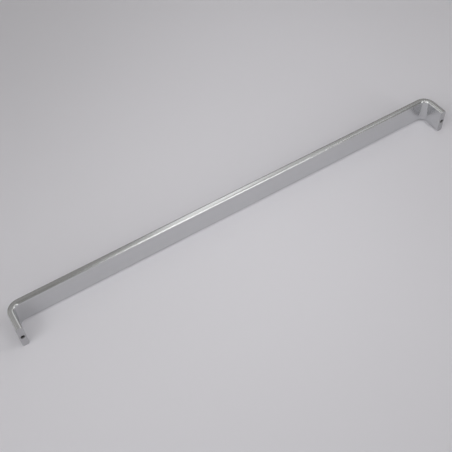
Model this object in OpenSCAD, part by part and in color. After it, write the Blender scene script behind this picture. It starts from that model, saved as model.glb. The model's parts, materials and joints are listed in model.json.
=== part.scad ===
// Bow pull handle for furniture, bent from one flat aluminium bar.
// X runs along the grip, Y from the mounting plane out to the grip, Z up the bar's width.
// The origin lies on the mounting plane, half way between the two fixing holes.

/* [Flat bar] */
// Width of the flat bar, from one long edge to the other
bar_width = 25; // [16:0.5:40]
// Thickness of the flat bar
bar_thickness = 6; // [4.5:0.5:10]
// Radius of the four rounded long edges
edge_radius = 2; // [0.5:0.1:2.2]

/* [Bent shape] */
// Distance between the centres of the two fixing holes
hole_spacing = 448; // [128:32:960]
// Reach of the grip's outer face from the mounting plane
projection = 29; // [26:0.5:50]
// Radius of the two bends on their inner side
bend_radius = 6; // [3:0.5:10]
// Broken edge round each sawn leg end
end_break = 0.3; // [0.1:0.1:0.4]

/* [Fixing holes] */
// Diameter drilled for the thread
hole_diameter = 3.3; // [2.5:0.1:3.6]
// Depth of the hole at its full diameter
hole_depth = 14; // [8:0.5:14]
// Diameter of the countersunk mouth
mouth_diameter = 4.2; // [3.8:0.1:4.4]
// Angle of the drill's point
point_angle = 118; // [90:1:140]

/* [Hidden] */
$fn = 96;

// Bend radii at the middle of the thickness and on the outer side
middle_bend = bend_radius + bar_thickness / 2;
outer_bend = bend_radius + bar_thickness;

// Straight stretches left between the bends and below them
leg_length = projection - outer_bend;
grip_length = hole_spacing - 2 * middle_bend;

// Centres of the rounded edges, measured from the middle of the section
corner_x = bar_thickness / 2 - edge_radius;
corner_y = bar_width / 2 - edge_radius;

// A cone that opens at 45 degrees is as deep as it is wide
mouth_depth = (mouth_diameter - hole_diameter) / 2;
point_depth = hole_diameter / 2 / tan(point_angle / 2);

// Cuts start this far outside the face that they open
overshoot = 1;

// Section of the bar: thickness along x, width along y
module bar_section() {
    square([2 * corner_x, bar_width], center = true);
    square([bar_thickness, 2 * corner_y], center = true);
    for (x = [-corner_x, corner_x], y = [-corner_y, corner_y])
        translate([x, y])
            circle(r = edge_radius);
}

// Flat of a leg end whose sides lean in by the broken edge: size is across, length is along
module leaning_slab(size, length) {
    translate([0, 0, -length / 2])
        linear_extrude(length)
            polygon([
                [-size / 2, end_break],
                [-size / 2 + end_break, 0],
                [size / 2 - end_break, 0],
                [size / 2, end_break],
            ]);
}

// Last stretch of a leg, with the broken edge all round its end face
module leg_tip() {
    leaning_slab(bar_thickness, 2 * corner_y);
    rotate([0, 90, 0])
        leaning_slab(bar_width, 2 * corner_x);
    for (x = [-corner_x, corner_x], z = [-corner_y, corner_y])
        translate([x, 0, z])
            rotate([-90, 0, 0])
                cylinder(h = end_break, r1 = edge_radius - end_break, r2 = edge_radius);
}

// Leg that runs from the mounting plane up to its bend, along +Y
module leg() {
    translate([0, leg_length, 0])
        rotate([90, 0, 0])
            linear_extrude(leg_length - end_break)
                bar_section();
    leg_tip();
}

// Quarter turn that joins a leg to the grip, about its own centre
module bend() {
    rotate_extrude(angle = 90)
        translate([middle_bend, 0])
            bar_section();
}

// Straight grip between the two bends
module grip() {
    translate([-grip_length / 2, projection - bar_thickness / 2, 0])
        rotate([90, 0, 90])
            linear_extrude(grip_length)
                bar_section();
}

// Blind hole into a leg end: countersunk mouth, drilled wall and drill point, along +Y
module screw_hole() {
    rotate([-90, 0, 0]) {
        translate([0, 0, -overshoot])
            cylinder(h = hole_depth + overshoot, d = hole_diameter);
        translate([0, 0, hole_depth])
            cylinder(h = point_depth, d1 = hole_diameter, d2 = 0);
        translate([0, 0, -overshoot])
            cylinder(h = mouth_depth + overshoot, d1 = mouth_diameter + 2 * overshoot, d2 = hole_diameter);
    }
}

// The whole handle, one solid
module handle() {
    color("silver")
        difference() {
            union() {
                grip();
                for (side = [0, 1])
                    mirror([side, 0, 0]) {
                        translate([grip_length / 2, leg_length, 0])
                            bend();
                        translate([hole_spacing / 2, 0, 0])
                            leg();
                    }
            }
            for (x = [-hole_spacing / 2, hole_spacing / 2])
                translate([x, 0, 0])
                    screw_hole();
        }
}

handle();
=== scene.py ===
# %% [markdown]
# # A bow pull handle bent from one flat bar
#
# This handle is a flat aluminium bar with rounded long edges. It is bent square at both ends, sawn
# off, and tapped at each end for a screw. The solid model already settles every size and place.
# This lesson gives it its looks: a fine skin with real screw threads, a satin finish that runs
# along the bar, sawn ends, soft light and a camera. All of it is in metres, in the solid's own
# frame: X runs along the grip, Y from the mounting plane out to the grip, Z up the bar's width.

# %% Load the solid
import json
import math

import bpy
import numpy as np
from mathutils import Matrix, Vector


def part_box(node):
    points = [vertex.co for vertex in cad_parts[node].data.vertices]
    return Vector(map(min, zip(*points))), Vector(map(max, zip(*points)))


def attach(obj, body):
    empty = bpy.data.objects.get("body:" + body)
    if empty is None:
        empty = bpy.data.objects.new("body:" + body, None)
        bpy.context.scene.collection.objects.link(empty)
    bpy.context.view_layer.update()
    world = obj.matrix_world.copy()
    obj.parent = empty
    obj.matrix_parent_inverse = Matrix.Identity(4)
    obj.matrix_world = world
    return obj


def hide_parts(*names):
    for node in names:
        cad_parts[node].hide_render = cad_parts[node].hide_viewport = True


MM = 0.001


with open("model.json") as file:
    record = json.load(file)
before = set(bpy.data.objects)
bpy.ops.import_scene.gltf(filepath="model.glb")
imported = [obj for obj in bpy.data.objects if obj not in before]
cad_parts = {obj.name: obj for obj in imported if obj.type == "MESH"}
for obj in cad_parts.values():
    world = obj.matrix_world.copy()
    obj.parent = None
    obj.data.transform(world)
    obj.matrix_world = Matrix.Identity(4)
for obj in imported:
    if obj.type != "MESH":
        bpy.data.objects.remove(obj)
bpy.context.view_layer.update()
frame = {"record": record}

# %% [markdown]
# ## The sizes
#
# A new skin has to lie exactly where the solid is. Its sizes could be typed in again, but two sets
# of numbers drift apart, so they are read off the solid and off the screw holes in its record. Only
# the radii can't be read off a box. They are the bar's own rounded edges, the two bends, and the
# edge that a file breaks round each sawn end.

# %% Read the sizes off the solid
low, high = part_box("handle")
screw_holes = next(m for m in frame["record"]["mounts"] if m["name"] == "screw_holes")

hole_spacing = screw_holes["dims"]["spacing_x_mm"] * MM
bar_width = high.z - low.z
bar_thickness = high.x - low.x - hole_spacing
edge_radius = 2.0 * MM
bend_radius = 6.0 * MM
end_break = 0.3 * MM

middle_bend = bend_radius + bar_thickness / 2
grip_half = hole_spacing / 2 - middle_bend
leg_length = high.y - bar_thickness / 2 - middle_bend
print("bar", round(bar_width / MM, 2), "x", round(bar_thickness / MM, 2), "mm, legs",
      round(leg_length / MM, 2), "mm, straight grip", round(2 * grip_half / MM, 2), "mm")

# %% [markdown]
# ## The section
#
# The bar was extruded, so one section runs through the whole handle: a rectangle with four rounded
# corners. It could be a plain box with a Bevel modifier, but a worked-out outline lets the points
# crowd towards the rounded edges. Smooth shading then stays flat on the flats, and the highlight on
# each edge keeps its true width.

# %% Work out the section's outline
CORNER_STEPS = 12
SIDE_POINTS = 11


def eased(count):
    """Fractions from 0 to 1 that crowd towards both ends: half of one minus the cosine."""
    return (1 - np.cos(np.linspace(0, np.pi, count))) / 2


def section_outline(inset=0.0):
    """Offsets across and up the section, anticlockwise from the middle of the outer face.

    Four quarter circles stand on fixed corner centres and straight stretches join them. An inset
    comes off every radius, so the whole outline moves in by that much.
    """
    corner = np.arange(4)
    angle = np.linspace(0, np.pi / 2, CORNER_STEPS + 1) + corner[:, None] * np.pi / 2
    side_out = np.array([1, -1, -1, 1])
    side_up = np.array([1, 1, -1, -1])
    centre = np.stack([side_out * (bar_thickness / 2 - edge_radius),
                       side_up * (bar_width / 2 - edge_radius)], axis=-1)
    arcs = centre[:, None] + (edge_radius - inset) * np.stack([np.cos(angle), np.sin(angle)], axis=-1)
    start = arcs[:, -1:]
    end = np.roll(arcs, -1, axis=0)[:, :1]
    sides = start + (end - start) * eased(SIDE_POINTS + 2)[1:-1, None]
    outline = np.concatenate([arcs, sides], axis=1).reshape(-1, 2)
    return np.roll(outline, (SIDE_POINTS + 1) // 2, axis=0)


outline = section_outline()
print(len(outline), "points round the section")

# %% [markdown]
# ## The path of the bend
#
# Bending turns the bar about a pin at each end and leaves the rest straight. The same thing in
# numbers is a path: a straight leg, a quarter circle, half of the grip, and then the mirror image.
# Every station on the path knows which way is out of the bow. A drawn curve could hold this path
# too, but its points wouldn't know how far along the bar they are, which the finish needs.

# %% Walk along the bar
LEG_STEPS = 8
BEND_STEPS = 30
GRIP_STEPS = 36
MIRROR = np.array([-1, 1])


def distance_along(points):
    """Distance walked to each point: the running sum of the straight steps before it."""
    steps = np.linalg.norm(np.diff(points, axis=0), axis=1)
    return np.concatenate([[0], np.cumsum(steps)])


def left_half_path():
    """Middle line from the left sawn end to the middle of the grip, as seen from above.

    The leg rises along Y, the bend is a quarter circle about the bending pin, and the grip runs
    along X. Returns each station's place and its outward direction.
    """
    leg_y = end_break + (leg_length - end_break) * eased(LEG_STEPS + 1)
    turn = np.linspace(0, np.pi / 2, BEND_STEPS + 1)[1:]
    bend_x = -grip_half - middle_bend * np.cos(turn)
    bend_y = leg_length + middle_bend * np.sin(turn)
    grip_x = -grip_half + grip_half * eased(GRIP_STEPS + 1)[1:]
    leg = np.stack([np.full_like(leg_y, -hole_spacing / 2), leg_y], axis=-1)
    bend = np.stack([bend_x, bend_y], axis=-1)
    grip = np.stack([grip_x, np.full_like(grip_x, leg_length + middle_bend)], axis=-1)
    turned = np.concatenate([0 * leg_y, turn, np.full_like(grip_x, np.pi / 2)])
    outward = np.stack([-np.cos(turned), np.sin(turned)], axis=-1)
    return np.concatenate([leg, bend, grip]), outward


left_place, left_outward = left_half_path()
left_walked = end_break + distance_along(left_place)
bar_length = 2 * left_walked[-1]
place = np.concatenate([left_place, left_place[-2::-1] * MIRROR])
outward = np.concatenate([left_outward, left_outward[-2::-1] * MIRROR])
walked = np.concatenate([left_walked, bar_length - left_walked[-2::-1]])
print(len(place), "stations along a bar", round(bar_length / MM, 1), "mm long before bending")

# %% [markdown]
# ## The bent bar
#
# The skin of the bar is the section set down at every station of the path, turned so that it faces
# out of the bow. A curve object with a bevel could sweep it, but that mesh wouldn't leave room for
# the drilled ends. Plain rings of points can be joined to anything with as many points round it.

# %% Carry the section along the path
def carry(place, outward, offsets):
    """Rings of points: each is its station's place, plus its offset outward, plus its offset up."""
    flat = place[:, None] + outward[:, None] * offsets[..., :1]
    up = np.broadcast_to(offsets[..., 1:], flat.shape[:2] + (1,))
    return np.concatenate([flat, up], axis=-1)


bar_rings = carry(place, outward, outline)
print("the bar is", bar_rings.shape[0], "rings of", bar_rings.shape[1], "points")

# %% [markdown]
# ## The tapped holes
#
# Each sawn end has a blind hole for a machine screw: drilled, countersunk a little so that the tap
# starts clean, and tapped. A thread could be a bump on a plain wall, but the mouth of the hole
# faces the viewer, so here it is a shape. The wall's radius depends on depth and on angle, and
# setting the angle off against the depth winds the groove into a right-hand helix.

# %% Work out the tapped wall
hole_depth = 14.0 * MM
drilled_radius = screw_holes["dims"]["hole_r_mm"] * MM
mouth_radius = 2.1 * MM
thread_pitch = 0.7 * MM
thread_height = 0.35 * MM
thread_end = 13.5 * MM
thread_runout = 1.4 * MM
ROOT_FLAT = 1 / 8
CREST_FLAT = 1 / 4


def tapped_radius(depth, angle, hand):
    """Radius of the hole at a depth and an angle.

    The groove's section repeats every pitch: a flat root an eighth of the pitch wide, two straight
    flanks, and a quarter of the pitch left at the drilled wall. It fades out over the tap's
    tapered tip, and at the mouth the 45 degree countersink is wider than the thread.
    """
    phase = np.mod(depth / thread_pitch - hand * angle / (2 * np.pi), 1)
    from_root = np.abs(phase - 0.5)
    flank = (1 - CREST_FLAT - ROOT_FLAT) / 2
    groove = np.clip(((1 - CREST_FLAT) / 2 - from_root) / flank, 0, 1)
    fade = np.clip((thread_end - depth) / thread_runout, 0, 1)
    return np.maximum(drilled_radius + thread_height * groove * fade, mouth_radius - depth)


print("thread of", round(thread_pitch / MM, 2), "mm a turn, from", round(2 * drilled_radius / MM, 2),
      "to", round(2 * (drilled_radius + thread_height) / MM, 2), "mm across")

# %% [markdown]
# ## The leg ends
#
# The saw leaves a flat face with a hole in its middle, and a file breaks its edge. A Boolean would
# cut the hole and leave ragged faces round it. Here each ring of the hole has as many points as the
# bar's section, so the flat face is just the band between the mouth and the outline, drawn in by
# the width of the broken edge.

# %% Work out the rings of a leg end
ROWS_PER_PITCH = 10


def leg_end_rings(side):
    """Rings from the bottom of a hole, up its wall, and across the sawn face to its broken edge."""
    rows = math.ceil(hole_depth / thread_pitch * ROWS_PER_PITCH)
    depth = np.linspace(hole_depth, 0, rows + 1)[:, None]
    angle = 2 * np.pi * np.arange(len(outline)) / len(outline)
    radius = tapped_radius(depth, angle, -side)
    wall = radius[..., None] * np.stack([np.cos(angle), np.sin(angle)], axis=-1)
    offsets = np.concatenate([wall, section_outline(end_break)[None]])
    centre = np.concatenate([np.full_like(depth, side * hole_spacing / 2), depth], axis=-1)
    centre = np.concatenate([centre, centre[-1:]])
    facing = np.broadcast_to([side, 0], centre.shape)
    return carry(centre, facing, offsets)


left_end = leg_end_rings(-1)
right_end = leg_end_rings(1)[::-1]
print(len(left_end), "rings at each end")

# %% [markdown]
# ## One closed skin
#
# The rings follow each other without a break: out of the left hole, across the sawn face, along the
# bar and into the right hole. Separate meshes could overlap instead, but one grid has no seams to
# hide. A point at the bottom of each hole, where the drill's tip left a cone, closes it.

# %% Join the rings with faces
POINT_ANGLE = 118
bottom = hole_depth + drilled_radius / math.tan(math.radians(POINT_ANGLE / 2))
tips = np.array([[-hole_spacing / 2, bottom, 0], [hole_spacing / 2, bottom, 0]])
rings = np.concatenate([left_end, bar_rings, right_end])
ring_count, column_count = rings.shape[:2]


def grid_faces():
    """Quads between each ring and the next, and a fan of triangles at each end's point."""
    column = np.arange(column_count)
    following = (column + 1) % column_count
    first = np.arange(ring_count - 1)[:, None] * column_count
    second = first + column_count
    quads = np.stack([first + column, first + following, second + following, second + column], axis=-1)
    left_tip = np.full(column_count, ring_count * column_count)
    last = (ring_count - 1) * column_count
    left_fan = np.stack([left_tip, following, column], axis=-1)
    right_fan = np.stack([last + column, last + following, left_tip + 1], axis=-1)
    return quads.reshape(-1, 4).tolist() + left_fan.tolist() + right_fan.tolist()


skin_points = np.concatenate([rings.reshape(-1, 3), tips]).tolist()
skin_faces = grid_faces()
print(len(skin_points), "points and", len(skin_faces), "faces")

# %% [markdown]
# ## The grain map
#
# Brushing runs along the bar and follows it round the bends, so the finish has to know where along
# is. A UV unwrap would stretch the bends by some amount that nobody set. Here the map holds real
# lengths: U is the distance along the bar and V the distance round it, so a scratch can be given
# in millimetres. The ends get a short run of their own, because their finishes don't read the map.

# %% Map the grain
around = distance_along(np.concatenate([outline, outline[:1]]))
end_run = end_break * np.arange(len(left_end), 0, -1)
ring_walk = np.concatenate([-end_run, walked, bar_length + end_run[::-1]])


def grain_map():
    """UV of every face corner: distance along the bar and distance round it, in metres."""
    along = np.stack([ring_walk[:-1], ring_walk[:-1], ring_walk[1:], ring_walk[1:]], axis=-1)
    across = np.stack([around[:-1], around[1:], around[1:], around[:-1]], axis=-1)
    shape = (ring_count - 1, column_count, 4)
    both = [np.broadcast_to(along[:, None], shape), np.broadcast_to(across[None], shape)]
    fans = np.zeros((2 * column_count * 3, 2))
    return np.concatenate([np.stack(both, axis=-1).reshape(-1, 2), fans])


grain = grain_map().ravel().astype(np.float32)
print("the map is", round(bar_length / MM, 1), "mm long and", round(around[-1] / MM, 2), "mm round")

# %% [markdown]
# ## The mesh
#
# The points, the faces and the map become one object that rides on the handle's body and stands for
# its solid. Flat shading would show every ring, and smooth shading alone would smear the crisp edges
# of the sawn ends and threads. So the mesh is smooth, and edges sharper than a set angle stay sharp.

# %% Build the mesh
SHARP_ANGLE = 30
mesh = bpy.data.meshes.new("handle_bar")
mesh.from_pydata(skin_points, [], skin_faces)
mesh.uv_layers.new(name="grain")
mesh.uv_layers["grain"].data.foreach_set("uv", grain)
mesh.shade_smooth()
mesh.set_sharp_from_angle(angle=math.radians(SHARP_ANGLE))
handle_bar = bpy.data.objects.new("handle_bar", mesh)
bpy.context.scene.collection.objects.link(handle_bar)
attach(handle_bar, "root")
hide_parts("handle")

mesh.calc_loop_triangles()
print(len(mesh.loop_triangles), "triangles; mesh sound:", not mesh.validate())

# %% [markdown]
# ## Satin aluminium
#
# The bar is brushed lightly along its length and then anodised, which leaves a soft grey shine. A
# metal's look is nearly all reflection, so the work is in the roughness and not in the colour. A
# rough metal alone would blur highlights the same way all round. Brushing blurs them more across
# the scratches than along them, so the shader gets a steady anisotropy that follows the grain map.

# %% Start the satin finish
ANISOTROPY = 0.4
QUARTER_TURN = 0.25


def new_finish(name, metallic):
    """A material with one shader, whose metallic share is set on its own socket."""
    finish = bpy.data.materials.new(name)
    finish.use_nodes = True
    shader = finish.node_tree.nodes["Principled BSDF"]
    shader.inputs["Metallic"].default_value = metallic
    return finish, finish.node_tree, shader


def add_node(tree, kind, **settings):
    """A node with its properties set; a key that names an input sets that input's value."""
    node = tree.nodes.new(kind)
    for key, value in settings.items():
        if key in node.inputs:
            node.inputs[key].default_value = value
        else:
            setattr(node, key, value)
    return node


satin, tree, shader = new_finish("satin_aluminium_bar", metallic=1)
shader.inputs["Anisotropic"].default_value = ANISOTROPY
shader.inputs["Anisotropic Rotation"].default_value = QUARTER_TURN
direction = add_node(tree, "ShaderNodeTangent", direction_type="UV_MAP", uv_map="grain")
tree.links.new(direction.outputs["Tangent"], shader.inputs["Tangent"])
print("satin metal with an anisotropy of", ANISOTROPY)

# %% [markdown]
# ## Brushed scratches
#
# Close to, the brushing is scratches a few centimetres long and a fraction of a millimetre wide. A
# photograph of brushed metal could be wrapped on, but it would repeat and it has one fixed scale.
# A noise on the grain map never repeats, and stretching it along U draws it out into scratches.

# %% Draw the scratches
SCRATCH_LENGTH = 30 * MM
SCRATCH_WIDTH = 0.22 * MM
grain_uv = add_node(tree, "ShaderNodeUVMap", uv_map="grain")
stretch = add_node(tree, "ShaderNodeMapping", Scale=(1 / SCRATCH_LENGTH, 1 / SCRATCH_WIDTH, 1))
scratches = add_node(tree, "ShaderNodeTexNoise", Scale=1.0, Detail=3.0, Roughness=0.6)
tree.links.new(grain_uv.outputs["UV"], stretch.inputs["Vector"])
tree.links.new(stretch.outputs["Vector"], scratches.inputs["Vector"])
print("scratches", SCRATCH_LENGTH / MM, "mm long and", SCRATCH_WIDTH / MM, "mm wide")

# %% [markdown]
# ## What a scratch does
#
# A real scratch scatters light, looks lighter or darker than the metal beside it, and has a depth. A
# bump could stand for all three, but from a step away it is too fine to see, and the other two still
# show. So one pattern drives the roughness, the grey and a faint bump. Each is a short helper,
# because the other finishes need the same three.

# %% Brush the satin finish
NOISE_LOW = 0.3
NOISE_HIGH = 0.7
SATIN_ROUGHNESS = (0.19, 0.26)
SATIN_GREYS = ((0.626, 0.632, 0.640), (0.675, 0.681, 0.686))
SCRATCH_BUMP = 0.25
SCRATCH_HEIGHT = 0.004 * MM


def spread(tree, source, first, last):
    """A pattern's middle values, spread evenly from a first value to a last one."""
    node = add_node(tree, "ShaderNodeMapRange", **{"From Min": NOISE_LOW, "From Max": NOISE_HIGH,
                                                  "To Min": first, "To Max": last})
    tree.links.new(source, node.inputs["Value"])
    return node.outputs["Result"]


def vary_roughness(tree, shader, source, smooth, rough):
    """Gives the shader a roughness that follows a pattern's middle values."""
    tree.links.new(spread(tree, source, smooth, rough), shader.inputs["Roughness"])


def vary_colour(tree, shader, source, first, second):
    """Gives the shader a mix of two greys, by a pattern that runs from 0 to 1."""
    tint = add_node(tree, "ShaderNodeMix", data_type="RGBA", A=(*first, 1), B=(*second, 1))
    tree.links.new(source, tint.inputs["Factor"])
    tree.links.new(tint.outputs["Result"], shader.inputs["Base Color"])


def raise_bump(tree, shader, source, strength, height):
    """Tilts the surface as if a pattern stood up from it by a height."""
    bump = add_node(tree, "ShaderNodeBump", Strength=strength, Distance=height)
    tree.links.new(source, bump.inputs["Height"])
    tree.links.new(bump.outputs["Normal"], shader.inputs["Normal"])


vary_roughness(tree, shader, scratches.outputs["Fac"], *SATIN_ROUGHNESS)
vary_colour(tree, shader, spread(tree, scratches.outputs["Fac"], 0, 1), *SATIN_GREYS)
raise_bump(tree, shader, scratches.outputs["Fac"], SCRATCH_BUMP, SCRATCH_HEIGHT)
print("satin roughness from", SATIN_ROUGHNESS[0], "to", SATIN_ROUGHNESS[1])

# %% [markdown]
# ## Sawn ends
#
# The saw leaves fine straight marks across each end, duller than the satin skin. They could be cut
# as ridges, but they are finer than anything the viewer can see as a shape. They lie on small faces
# that the grain map doesn't suit, so this finish reads Object coordinates: bands across the
# thickness, bent a little by noise.

# %% Make the sawn finish
SAW_PITCH = 0.45 * MM
SAWN_ROUGHNESS = (0.38, 0.48)
SAWN_GREYS = ((0.50, 0.50, 0.515), (0.60, 0.60, 0.61))
SAW_BUMP = 0.4
SAW_HEIGHT = 0.008 * MM
# At a scale of 1, a wave texture repeats once in this length
WAVE_LENGTH = math.pi / 10
sawn, tree, shader = new_finish("sawn_aluminium_end", metallic=1)

spot = add_node(tree, "ShaderNodeTexCoord")
saw_marks = add_node(tree, "ShaderNodeTexWave", bands_direction="Z", Distortion=2.5, Detail=2.0,
                     **{"Scale": WAVE_LENGTH / SAW_PITCH, "Detail Scale": 1.5})
tree.links.new(spot.outputs["Object"], saw_marks.inputs["Vector"])
vary_roughness(tree, shader, saw_marks.outputs["Fac"], *SAWN_ROUGHNESS)
vary_colour(tree, shader, saw_marks.outputs["Fac"], *SAWN_GREYS)
raise_bump(tree, shader, saw_marks.outputs["Fac"], SAW_BUMP, SAW_HEIGHT)
print("saw marks every", SAW_PITCH / MM, "mm")

# %% [markdown]
# ## Cut threads
#
# The tap leaves bare metal, and little light gets deep into a hole, so from outside it looks nearly
# black. That shade is painted into the wall's colour. Darkening the shader everywhere would also
# dull the countersunk mouth, so the painted shade grows with depth: the Y of the Object coordinates
# is the depth, and a fine noise breaks up the edge of the painted shade.

# %% Make the tapped finish
PAINTED_SHADE_START = 0.2 * MM
PAINTED_SHADE_END = 1.6 * MM
SPECK_SIZE = 0.3 * MM
TAPPED_ROUGHNESS = (0.42, 0.58)
BARE_GREY = (0.34, 0.34, 0.345)
# The near-black grey is painted shade: the wall darkens with depth, where little light gets in
PAINTED_SHADE_GREY = (0.07, 0.068, 0.065)
tapped, tree, shader = new_finish("tapped_hole_wall", metallic=1)

spot = add_node(tree, "ShaderNodeTexCoord")
depth = add_node(tree, "ShaderNodeSeparateXYZ")
specks = add_node(tree, "ShaderNodeTexNoise", Scale=1 / SPECK_SIZE, Detail=2.0)
uneven = add_node(tree, "ShaderNodeMath", operation="MULTIPLY_ADD")
uneven.inputs[1].default_value = SPECK_SIZE
# Painted shade: how far the wall has darkened at each depth
painted_shade = add_node(tree, "ShaderNodeMapRange", **{"From Min": PAINTED_SHADE_START, "From Max": PAINTED_SHADE_END})
tree.links.new(spot.outputs["Object"], depth.inputs["Vector"])
tree.links.new(spot.outputs["Object"], specks.inputs["Vector"])
tree.links.new(specks.outputs["Fac"], uneven.inputs[0])
tree.links.new(depth.outputs["Y"], uneven.inputs[2])
tree.links.new(uneven.outputs["Value"], painted_shade.inputs["Value"])
vary_roughness(tree, shader, specks.outputs["Fac"], *TAPPED_ROUGHNESS)
# Paints the shade into the colour: bare grey at the mouth, near black deeper in
vary_colour(tree, shader, painted_shade.outputs["Result"], BARE_GREY, PAINTED_SHADE_GREY)
print("stain from", PAINTED_SHADE_START / MM, "to", PAINTED_SHADE_END / MM, "mm deep")

# %% [markdown]
# ## Which finish goes where
#
# The same bar shows three surfaces: brushed outside, sawn at the ends, tapped in the holes. They
# could be picked by hand or by their place in space. The grid makes it a matter of counting: whole
# bands between rings are bar, sawn face or hole, and both fans are hole bottoms.

# %% Give each band of faces its finish
BAR, FACE, HOLE = 0, 1, 2
for finish in (satin, sawn, tapped):
    mesh.materials.append(finish)
hole_bands = len(left_end) - 2
band = np.full(ring_count - 1, BAR, dtype=np.int32)
band[:hole_bands] = HOLE
band[-hole_bands:] = HOLE
band[hole_bands:len(left_end)] = FACE
band[-len(left_end):-hole_bands] = FACE
hole_bottoms = np.full(2 * column_count, HOLE, dtype=np.int32)
face_finish = np.concatenate([np.repeat(band, column_count), hole_bottoms])
mesh.polygons.foreach_set("material_index", face_finish)
print("faces of bar, sawn end and hole:", np.bincount(face_finish).tolist())

# %% [markdown]
# ## The floor
#
# The handle lies on one long edge on a pale matt floor. A curved backdrop would hide the horizon,
# but the camera looks down and never sees it. The floor only has to catch the light, the soft
# shadow and, in the metal, its own reflection, so a large plain sheet will do.

# %% Lay the floor
FLOOR_HALF = 6.0
FLOOR_COLOUR = (0.80, 0.79, 0.835, 1)
FLOOR_ROUGHNESS = 0.85
FLOOR_GLOSS = 0.2
corners = FLOOR_HALF * np.array([[-1, -1, 0], [1, -1, 0], [1, 1, 0], [-1, 1, 0]]) + [0, 0, low.z]
floor_mesh = bpy.data.meshes.new("floor")
floor_mesh.from_pydata(corners.tolist(), [], [[0, 1, 2, 3]])
floor = bpy.data.objects.new("floor", floor_mesh)
bpy.context.scene.collection.objects.link(floor)
pale, tree, shader = new_finish("pale_matt_floor", metallic=0)
shader.inputs["Base Color"].default_value = FLOOR_COLOUR
shader.inputs["Roughness"].default_value = FLOOR_ROUGHNESS
shader.inputs["Specular IOR Level"].default_value = FLOOR_GLOSS
floor_mesh.materials.append(pale)
print("floor at", round(low.z / MM, 2), "mm")

# %% [markdown]
# ## The dim room
#
# Metal shows what stands around it, and most of that is a dim room. It is what the dark left part
# of the top edge mirrors. A picture of a real room could be wrapped round the scene, but then its
# lights couldn't be moved. An even, slightly warm grey leaves every brighter thing to be placed.

# %% Fill the room
ROOM_COLOUR = (1.0, 0.98, 0.94, 1)
ROOM_LEVEL = 0.22
world = bpy.data.worlds.new("dim_room")
bpy.context.scene.world = world
world.use_nodes = True
background = world.node_tree.nodes["Background"]
background.inputs["Color"].default_value = ROOM_COLOUR
background.inputs["Strength"].default_value = ROOM_LEVEL
print("room level", ROOM_LEVEL)

# %% [markdown]
# ## Long strips
#
# The top edge has a broad highlight to the right of its middle, and the rounded edge below it a
# bright line. A point lamp would leave a spark there. Long soft boxes that hang behind, over and in
# front of the bar draw both, because each is mirrored in its own part of the rounded section. Their
# power is worked out from a brightness and an area, so a box mirrors as bright at any size.

# %% Hang the strips
HIGH_RAIL = 1.5
LOW_RAIL = 1.0
BACK_STRIP = (0.2, 0.7)


def add_soft_box(name, place, target, size, brightness, beam=180):
    """A rectangular area light that faces a target; its watts are brightness times pi times area.

    A beam of less than 180 degrees is a honeycomb grid on the box: the light stays near the middle
    of what it is aimed at and falls off around that.
    """
    lamp = bpy.data.lights.new(name, "AREA")
    lamp.shape = "RECTANGLE"
    lamp.size, lamp.size_y = size
    lamp.energy = brightness * math.pi * size[0] * size[1]
    lamp.spread = math.radians(beam)
    soft_box = bpy.data.objects.new(name, lamp)
    bpy.context.scene.collection.objects.link(soft_box)
    soft_box.location = place
    soft_box.rotation_mode = "QUATERNION"
    soft_box.rotation_quaternion = (Vector(target) - Vector(place)).to_track_quat("-Z", "Y")


def add_strip(name, place, size, brightness):
    """A soft box hung level at a place, facing straight down."""
    add_soft_box(name, place, (place[0], place[1], 0), size, brightness)


add_strip("strip_behind_left", (0.48, 1.1, HIGH_RAIL), BACK_STRIP, 0.69)
add_strip("strip_behind_right", (0.68, 1.1, HIGH_RAIL), BACK_STRIP, 0.48)
add_strip("strip_over", (0.38, 0.1, HIGH_RAIL), (0.26, 1.1), 0.66)
add_strip("strip_near_front", (0.55, -0.45, LOW_RAIL), (0.35, 0.6), 0.68)
add_strip("strip_in_front", (0.45, -1.3, HIGH_RAIL), (0.27, 1.4), 1.65)
print("lights so far:", len(bpy.data.lights))

# %% [markdown]
# ## Panels on stands
#
# The floor is lit mostly from the left, and the inner face mirrors that floor. One huge light could
# do it, but its level would be the same all over. Rows of panels on far stands make the same soft
# light, and each row has its own level. A bright low panel in front carries the bright line on to
# the left end of the bar.

# %% Put up the panels
MIDDLE = (0, 0, 0)
STAND_DISTANCE = 2.5
HIGH_ROW = 50
FRONT_ROW = 18
LOW_ROW = 11.5
HIGH_PANEL = (0.84, 0.87)
FRONT_PANEL = (0.95, 0.9)
LOW_PANEL = (1.03, 0.74)


def stand(target, azimuth, elevation, distance):
    """Place at a distance from a target.

    Azimuth turns from +Y towards +X, and elevation is the angle above the floor.
    """
    turn = math.radians(azimuth)
    lift = math.radians(elevation)
    way = Vector((math.cos(lift) * math.sin(turn), math.cos(lift) * math.cos(turn), math.sin(lift)))
    return Vector(target) + distance * way


def add_panels(name, azimuths, elevation, size, brightness):
    """Soft boxes on far stands that face the handle's middle, one for each azimuth."""
    for azimuth in azimuths:
        place = stand(MIDDLE, azimuth, elevation, STAND_DISTANCE)
        add_soft_box(f"{name}_{azimuth}", place, MIDDLE, size, brightness)


add_panels("front_low", (161,), FRONT_ROW, FRONT_PANEL, 2.65)
add_panels("back_edge", (0,), HIGH_ROW, HIGH_PANEL, 0.12)
add_panels("back", (30, 60), HIGH_ROW, HIGH_PANEL, 0.45)
add_panels("left", (210, 240, 270), HIGH_ROW, HIGH_PANEL, 1.0)
add_panels("left_back", (300, 330), HIGH_ROW, HIGH_PANEL, 0.38)
add_panels("left_low", (240, 264, 288, 312), LOW_ROW, LOW_PANEL, 0.56)
print("lights so far:", len(bpy.data.lights))

# %% [markdown]
# ## Pools on the floor
#
# The floor is a little brighter in front of the bar and behind its middle. It could be painted
# so, but then it would stay bright in any light. Soft boxes with a honeycomb grid light only what
# they are aimed at. Three of them stand side by side on the left, so that the rounded bend on the
# right mirrors soft patches and not one hard spark.

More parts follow.
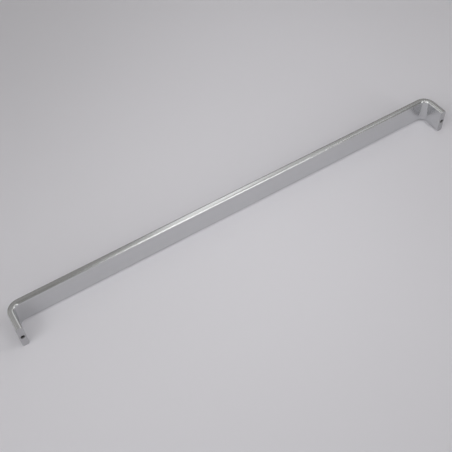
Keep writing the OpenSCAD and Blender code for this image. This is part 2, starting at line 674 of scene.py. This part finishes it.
# %% Light the pools
GRID_BEAM = 60
SPOT_BEAM = 30
FRONT_POOL = (0.08, -0.08, 0)
BACK_POOL = (0.13, 0.22, 0)
LEFT_GRID = (0.5, 0.5)
GRID_ELEVATION = 35
GRID_DISTANCE = 1.2
for azimuth in (228, 248, 268):
    grid_place = stand(FRONT_POOL, azimuth, GRID_ELEVATION, GRID_DISTANCE)
    add_soft_box(f"left_grid_{azimuth}", grid_place, FRONT_POOL, LEFT_GRID, 0.13, GRID_BEAM)
add_soft_box("front_grid", (0.2, -0.45, LOW_RAIL), FRONT_POOL, (0.35, 0.6), 0.06, GRID_BEAM)
add_soft_box("back_spot", (*BACK_POOL[:2], LOW_RAIL), BACK_POOL, (0.3, 0.3), 0.125, SPOT_BEAM)
print("lights so far:", len(bpy.data.lights))

# %% [markdown]
# ## Cards by the legs
#
# Thin bright lines run round both bends and down the rounded edges of the legs. A far light bright
# enough to draw them would show all along the bar, which has edges that face the same way. Small
# cards close to a leg show mostly in that leg, and a grid keeps most of their light off the rest.

# %% Set the cards
CARD_DISTANCE = 0.6
LEG_CARD = (0.16, 0.16)
BEND_CARD = (0.25, 0.2)
rounding = edge_radius * (1 - math.sqrt(0.5))
leg_line_x = hole_spacing / 2 - bar_thickness / 2 + rounding
left_leg = (-leg_line_x, leg_length / 2, high.z - rounding)
right_leg = (leg_line_x, leg_length / 2, high.z - rounding)


def add_card(name, leg, azimuth, elevation, size, brightness):
    """A small soft box with a grid, close to a leg and facing the middle of its rounded edge."""
    place = stand(leg, azimuth, elevation, CARD_DISTANCE)
    add_soft_box(name, place, leg, size, brightness, GRID_BEAM)


add_card("left_leg_card", left_leg, 45, 30, LEG_CARD, 0.09)
add_card("left_bend_card", left_leg, 105, 30, BEND_CARD, 0.40)
add_card("right_bend_card", right_leg, 215, 35, BEND_CARD, 0.08)
add_card("right_corner_card", right_leg, 250, 35, BEND_CARD, 0.06)
add_card("right_leg_card", right_leg, 303, 25, LEG_CARD, 0.10)
print("lights in all:", len(bpy.data.lights))

# %% [markdown]
# ## Camera
#
# The photograph was taken from the front and left, about fifty degrees above the floor, with the
# legs pointing at the viewer and the camera rolled a few degrees. A Track To constraint could aim
# the camera, but it can't roll it. The camera's matrix is built from the angles instead: forward
# from the two viewing angles, right from forward and the vertical, and then both turned by the roll.

# %% Set up the camera
PHOTO_PIXELS = 452
FOCAL_PIXELS = 731.66
SENSOR_WIDTH = 36
camera_place = Vector((-0.22939, -0.35594, 0.50725))
view_azimuth = math.radians(29.2905)
view_drop = math.radians(50.6960)
view_roll = math.radians(3.6647)

level_reach = math.cos(view_drop)
forward = Vector((level_reach * math.sin(view_azimuth),
                  level_reach * math.cos(view_azimuth),
                  -math.sin(view_drop)))
level_right = forward.cross(Vector((0, 0, 1))).normalized()
level_up = level_right.cross(forward)
right = math.cos(view_roll) * level_right - math.sin(view_roll) * level_up
up = math.sin(view_roll) * level_right + math.cos(view_roll) * level_up
camera_turn = Matrix((right, up, -forward)).transposed()

camera = bpy.data.objects.new("camera", bpy.data.cameras.new("camera"))
bpy.context.scene.collection.objects.link(camera)
camera.matrix_world = Matrix.Translation(camera_place) @ camera_turn.to_4x4()
camera.data.sensor_width = SENSOR_WIDTH
camera.data.lens = FOCAL_PIXELS / PHOTO_PIXELS * SENSOR_WIDTH
bpy.context.scene.camera = camera
bpy.context.scene.view_settings.view_transform = "Standard"
print("lens", round(camera.data.lens, 2), "mm")
